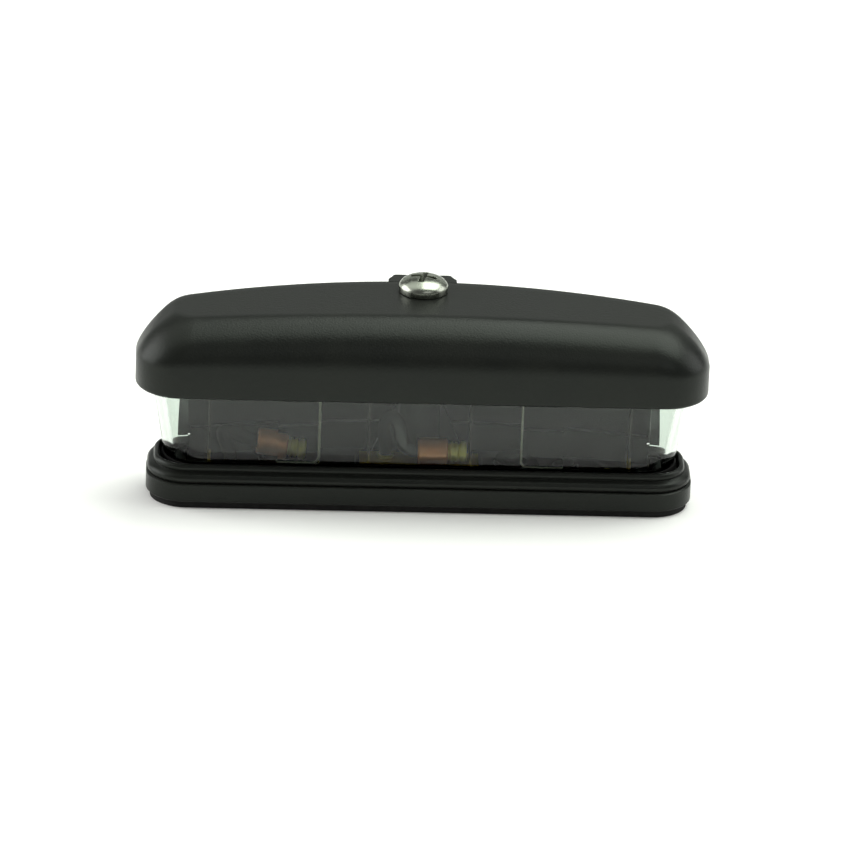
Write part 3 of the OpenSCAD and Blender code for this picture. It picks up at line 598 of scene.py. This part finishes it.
def lens_wall():
    """The wall as a closed strip from one end's back return round the front to the other."""
    bm = bmesh.new()
    rows = []
    for inset in (LENS_IN, LENS_IN + LENS_WALL):
        for share in (0, 1):
            half = HALF_BASE - inset + LENS_FLARE.x * share
            ring = lens_ring(inset, share, line_shares())
            count = len(ring) // 2
            back = [p for p in ring[count:] if p.x > LENS_END + END_SPARE]
            arc = BACK_ARC - inset
            y = (HOOD_BACK - inset + LENS_FLARE.z * share - arc
                 + math.sqrt(arc * arc - LENS_END * LENS_END))
            end = Vector((LENS_END, y, ring[0].z))
            back = spread([*back, end], BACK_STEPS)
            other = [Vector((-p.x, p.y, p.z)) for p in reversed(back)]
            rows.append([bm.verts.new(p) for p in other + ring[:count] + back])
    out_low, out_high, in_low, in_high = rows
    add_strip(bm, out_low, out_high)
    add_strip(bm, in_low, in_high)
    add_strip(bm, out_low, in_low)
    add_strip(bm, out_high, in_high)
    for i in (0, -1):
        bm.faces.new((out_low[i], out_high[i], in_high[i], in_low[i]))
    return bm


def foot_arc(low, high):
    """Points of the foot's rounded lower inner corner that lie between two heights."""
    arc = []
    for step in range(ROUND_STEPS + 1):
        angle = math.pi / 2 * step / ROUND_STEPS
        z = RIB_TOP + FOOT_ROUND * (1 - math.cos(angle))
        if low <= z <= high:
            arc.append((FOOT_INNER + FOOT_ROUND * (1 - math.sin(angle)), z))
    return arc


def add_block(bm, side, outline, near, far):
    """A block from an outline as seen from the front, between two lists of depths."""
    front = [bm.verts.new((side * x, y, z)) for (x, z), y in zip(outline, near)]
    back = [bm.verts.new((side * x, y, z)) for (x, z), y in zip(outline, far)]
    add_loop(bm, front, back)
    return front, back


def lens_foot(side):
    """A clear block behind the wall, whose back edge is bevelled at the top."""
    bm = bmesh.new()
    bend = FOOT_TOP - FOOT_BEVEL
    arc = foot_arc(LENS_FOOT, bend)
    outer = FOOT_INNER + FOOT_WIDTH
    outline = [(outer, FOOT_TOP), (outer, bend), (outer, arc[0][1])] + arc
    outline += [(FOOT_INNER, bend), (FOOT_INNER, FOOT_TOP)]
    share = [(z - LENS_FOOT) / (LENS_HIGH.z - LENS_FOOT) for _, z in outline]
    near = [BASE_FRONT + LENS_IN + LENS_WALL / 2 - LENS_FLARE.y * s for s in share]
    far = [BASE_FRONT + RIB_BACK - (FOOT_BEVEL if z == FOOT_TOP else 0) for _, z in outline]
    front, back = add_block(bm, side, outline, near, far)
    bm.faces.new(front)
    bm.faces.new(back[1:-1])
    bm.faces.new((back[0], back[1], back[-2], back[-1]))
    bmesh.ops.recalc_face_normals(bm, faces=bm.faces)
    return bm


def lens_sole(side):
    """The foot's sole, which stands on the rib behind the lens's lower edge."""
    bm = bmesh.new()
    high = LENS_FOOT + SOLE_OVERLAP
    arc = foot_arc(RIB_TOP, LENS_FOOT + SOLE_ARC_RISE)
    outer = FOOT_INNER + FOOT_WIDTH - HAIR
    outline = [(outer, high), (outer, RIB_TOP)] + arc + [(arc[-1][0], high)]
    near = [BASE_FRONT + RIB_FRONT for _ in outline]
    far = [BASE_FRONT + RIB_BACK - HAIR for _ in outline]
    front, back = add_block(bm, side, outline, near, far)
    bm.faces.new(front)
    bm.faces.new(back[::-1])
    bmesh.ops.recalc_face_normals(bm, faces=bm.faces)
    return bm


def hidden_tool(name, bm):
    mesh = bpy.data.meshes.new(name)
    bm.to_mesh(mesh)
    bm.free()
    tool = bpy.data.objects.new(name, mesh)
    bpy.context.scene.collection.objects.link(tool)
    return tool


def united(bm, tools):
    """The exact union of a bmesh with several closed ones."""
    bmesh.ops.recalc_face_normals(bm, faces=bm.faces)
    body = hidden_tool("body", bm)
    others = [hidden_tool("tool", t) for t in tools]
    for other in others:
        union = body.modifiers.new("union", "BOOLEAN")
        union.operation = "UNION"
        union.solver = "EXACT"
        union.object = other
    graph = bpy.context.evaluated_depsgraph_get()
    mesh = bpy.data.meshes.new_from_object(body.evaluated_get(graph))
    result = bmesh.new()
    result.from_mesh(mesh)
    for obj in [body] + others:
        bpy.data.objects.remove(obj)
    return result


FEET = [form(side) for side in (-1, 1) for form in (lens_foot, lens_sole)]
add_piece("lens_wall", united(lens_wall(), FEET), "lens", 30)


def foot_edge(side):
    """The rounded, slightly matt edge of a foot, down its inner side and along its sole."""
    bm = bmesh.new()
    back = Vector((0, 1, 0))
    y = BASE_FRONT + RIB_BACK - EDGE_R
    path = [(FOOT_INNER, FOOT_TOP - FOOT_BEVEL)] + foot_arc(RIB_TOP, LENS_HIGH.z)[::-1]
    path += [(FOOT_INNER + FOOT_WIDTH, RIB_TOP)]
    points = [Vector((side * (x + EDGE_R), y, z + EDGE_R)) for x, z in path]
    rows = []
    for i, point in enumerate(points):
        along = (points[min(i + 1, len(points) - 1)] - points[max(i - 1, 0)]).normalized()
        across = along.cross(back)
        turns = [math.tau * k / EDGE_SIDES for k in range(EDGE_SIDES)]
        rows.append([bm.verts.new(point + EDGE_R * (math.cos(a) * across + math.sin(a) * back))
                     for a in turns])
    for low, high in zip(rows, rows[1:]):
        add_loop(bm, low, high)
    bm.faces.new(rows[0])
    bm.faces.new(rows[-1][::-1])
    bmesh.ops.recalc_face_normals(bm, faces=bm.faces)
    return bm


for side, name in ((-1, "foot_edge_left"), (1, "foot_edge_right")):
    edge = add_piece(name, foot_edge(side), "lens", 60)
    edge.data.materials.clear()
    edge.data.materials.append(FROSTED)

# Every other node keeps the CAD form, with smooth shading, and small bevels on the listed ones

SKIN_ANGLE = {"base": 40}
# Bevel widths in millimetres
BEVELS = {
    "feed_contact": 0.08, "earth_contact_left": 0.08, "earth_contact_right": 0.08,
    "contact_rivets": 0.15, "hood_screw": 0.12, "screw_insert": 0.1,
}
for node in sorted(set(frame["nodes"]) - {"hood", "lens"}):
    skin = add_piece(node + "_skin", welded(node), node, SKIN_ANGLE.get(node, SMOOTH_DEGREES))
    if node in BEVELS:
        add_bevel(skin, BEVELS[node] * MM)


# Floor, light and camera

FLOOR_SIZE = 12
floor_mesh = bpy.data.meshes.new("floor")
floor_mesh.from_pydata(
    [(x * FLOOR_SIZE / 2, y * FLOOR_SIZE / 2, 0) for x, y in ((-1, -1), (1, -1), (1, 1), (-1, 1))],
    [], [(0, 1, 2, 3)])
floor = bpy.data.objects.new("floor", floor_mesh)
bpy.context.scene.collection.objects.link(floor)
floor_material, floor_tree, floor_shader = new_material("pale_floor", (0.92, 0.92, 0.91), 0.95)
floor_shader.inputs["Specular IOR Level"].default_value = 0.0
floor_shader.inputs["Emission Color"].default_value = (1, 0.985, 0.93, 1)
floor_shader.inputs["Emission Strength"].default_value = 0.1
floor_mesh.materials.append(floor_material)


def add_panel(name, place, aim, width, height, power, color=(1, 1, 1)):
    """A soft rectangular light at a place, turned towards a point."""
    light = bpy.data.lights.new(name, "AREA")
    light.shape = "RECTANGLE"
    light.size = width
    light.size_y = height
    light.energy = power
    light.color = color
    panel = bpy.data.objects.new(name, light)
    panel.location = place
    panel.rotation_mode = "QUATERNION"
    panel.rotation_quaternion = (Vector(aim) - Vector(place)).to_track_quat("-Z", "Y")
    bpy.context.scene.collection.objects.link(panel)


GREENISH = (0.95, 1, 0.93)
add_panel("overhead_right", (0.6, 0.33, 1.3), (0.6, 0.33, 0), 1.3, 1.35, 25, GREENISH)
add_panel("overhead_left", (-0.65, 0.33, 1.3), (-0.65, 0.33, 0), 1.1, 1.35, 4.5, GREENISH)
add_panel("behind", (0.2, 2.6, 0.85), (0, 0, 0.02), 3.6, 1.1, 6.3, GREENISH)
add_panel("left", (-1.7, 0.25, 0.65), (0, 0, 0.02), 1.6, 1.3, 28)
add_panel("right", (1.9, 0.3, 0.8), (0, 0, 0.02), 1.4, 1.2, 13)
add_panel("front", (0.45, -1.2, 1.0), (0, 0, 0.02), 0.9, 0.7, 1.8)

world = bpy.data.worlds.new("studio")
bpy.context.scene.world = world
world.use_nodes = True
world.node_tree.nodes["Background"].inputs["Color"].default_value = (1, 1, 1, 1)
world.node_tree.nodes["Background"].inputs["Strength"].default_value = 0.09

# The camera's place, as fitted to the lamp's outline in the photograph
CAMERA_AZIMUTH = math.radians(2.2)
CAMERA_ELEVATION = math.radians(23.32)
CAMERA_ROLL = math.radians(2.118)
CAMERA_DISTANCE = 1.5
PIXELS_PER_MM = 5.188
FRAME_PIXELS = 850
SENSOR_MM = 36
TARGET = Vector((0, 0, 18 * MM))
TARGET_RIGHT = 1.025 * MM
TARGET_UP = -4.303 * MM

forward = Vector((math.sin(CAMERA_AZIMUTH) * math.cos(CAMERA_ELEVATION),
                  math.cos(CAMERA_AZIMUTH) * math.cos(CAMERA_ELEVATION),
                  -math.sin(CAMERA_ELEVATION)))
level = Vector((math.cos(CAMERA_AZIMUTH), -math.sin(CAMERA_AZIMUTH), 0))
upright = level.cross(forward)
aim_point = TARGET + level * TARGET_RIGHT + upright * TARGET_UP
right = level * math.cos(CAMERA_ROLL) + upright * math.sin(CAMERA_ROLL)
up = upright * math.cos(CAMERA_ROLL) - level * math.sin(CAMERA_ROLL)
camera_data = bpy.data.cameras.new("camera")
camera_data.sensor_width = SENSOR_MM
camera_data.lens = PIXELS_PER_MM * CAMERA_DISTANCE / MM * SENSOR_MM / FRAME_PIXELS
camera_data.clip_start = 0.05
camera_data.clip_end = 50
camera = bpy.data.objects.new("camera", camera_data)
turn = Matrix((right, up, -forward)).transposed().to_4x4()
camera.matrix_world = Matrix.Translation(aim_point - forward * CAMERA_DISTANCE) @ turn
bpy.context.scene.collection.objects.link(camera)
bpy.context.scene.camera = camera
bpy.context.scene.view_settings.view_transform = "Standard"

bpy.context.view_layer.update()
